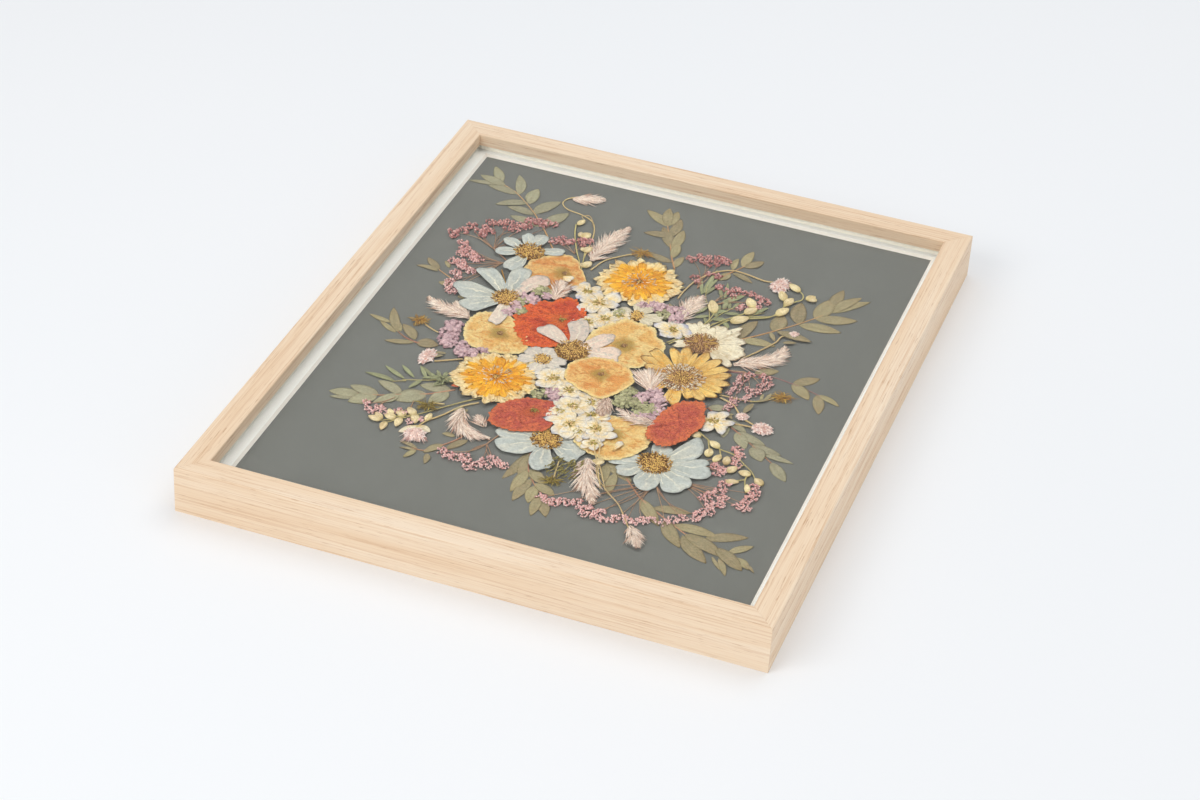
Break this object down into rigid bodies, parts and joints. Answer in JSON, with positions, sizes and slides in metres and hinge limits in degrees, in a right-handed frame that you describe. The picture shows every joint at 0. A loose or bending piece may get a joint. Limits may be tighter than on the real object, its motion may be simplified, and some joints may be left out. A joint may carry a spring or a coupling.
{
  "type": "pressed flower frame",
  "caption": "Pressed flowers and leaves on a grey card behind glass, with a bevelled cream mat, in a mitred pale wood frame with a recessed back.",
  "frame": {"origin": "under the middle of the frame's back, at the height that it rests on", "axes": "+X from left to right of the picture, +Y from its bottom to its top, +Z out of the picture"},
  "size_m": [0.432, 0.534, 0.0368],
  "materials": {
    "pale_wood": "satin",
    "clear_glass": "gloss",
    "mat_board": "matte",
    "spacer_board": "matte",
    "grey_card": "matte",
    "foam_core": "matte",
    "hardboard": "matte",
    "point_steel": "satin",
    "hanger_brass": "satin",
    "leaf": "matte",
    "white_petal": "matte",
    "daisy_petal": "matte",
    "orange_petal": "matte",
    "cream_petal": "matte",
    "yellow_petal": "matte",
    "poppy_petal": "matte",
    "red_petal": "matte",
    "celosia": "matte",
    "rice_flower": "matte"
  },
  "bodies": {
    "root": {"back_board": "hardboard", "celosia_bottom": "celosia", "celosia_bottom_right": "celosia", "celosia_left": "celosia", "celosia_lower_left": "celosia", "celosia_right": "celosia", "celosia_tall": "celosia", "celosia_top_left": "celosia", "celosia_upper_centre": "celosia", "cosmos_centre": "white_petal", "cosmos_left": "white_petal", "cosmos_lower_centre": "white_petal", "cosmos_lower_right": "white_petal", "cosmos_upper_left": "white_petal", "cream_zinnia": "cream_petal", "daisy_centre": "daisy_petal", "daisy_upper": "daisy_petal", "foam_board": "foam_core", "framers_point_bottom_1": "point_steel", "framers_point_left_1": "point_steel", "framers_point_left_2": "point_steel", "framers_point_right_1": "point_steel", "framers_point_right_2": "point_steel", "framers_point_top_1": "point_steel", "glass": "clear_glass", "leaf_sprig_bottom": "leaf", "leaf_sprig_bottom_right": "leaf", "leaf_sprig_lower_left": "leaf", "leaf_sprig_lower_right": "leaf", "leaf_sprig_right": "leaf", "leaf_sprig_top": "leaf", "leaf_sprig_top_left": "leaf", "leaf_sprig_upper_right": "leaf", "mount_card": "grey_card", "orange_zinnia_lower": "orange_petal", "orange_zinnia_upper": "orange_petal", "rail_bottom": "pale_wood", "rail_left": "pale_wood", "rail_right": "pale_wood", "rail_top": "pale_wood", "red_poppy_lower": "red_petal", "red_poppy_right": "red_petal", "red_poppy_upper": "red_petal", "rice_flower_spray_bottom_left": "rice_flower", "rice_flower_spray_bottom_right": "rice_flower", "rice_flower_spray_left": "rice_flower", "rice_flower_spray_right": "rice_flower", "rice_flower_spray_top_left": "rice_flower", "sawtooth_hanger": "hanger_brass", "spacer_bottom": "spacer_board", "spacer_left": "spacer_board", "spacer_right": "spacer_board", "spacer_top": "spacer_board", "window_mat": "mat_board", "yellow_poppy_centre": "poppy_petal", "yellow_poppy_left": "poppy_petal", "yellow_poppy_lower": "poppy_petal", "yellow_poppy_lower_centre": "poppy_petal", "yellow_poppy_upper_left": "poppy_petal", "yellow_zinnia": "yellow_petal"}
  },
  "joints": []
}
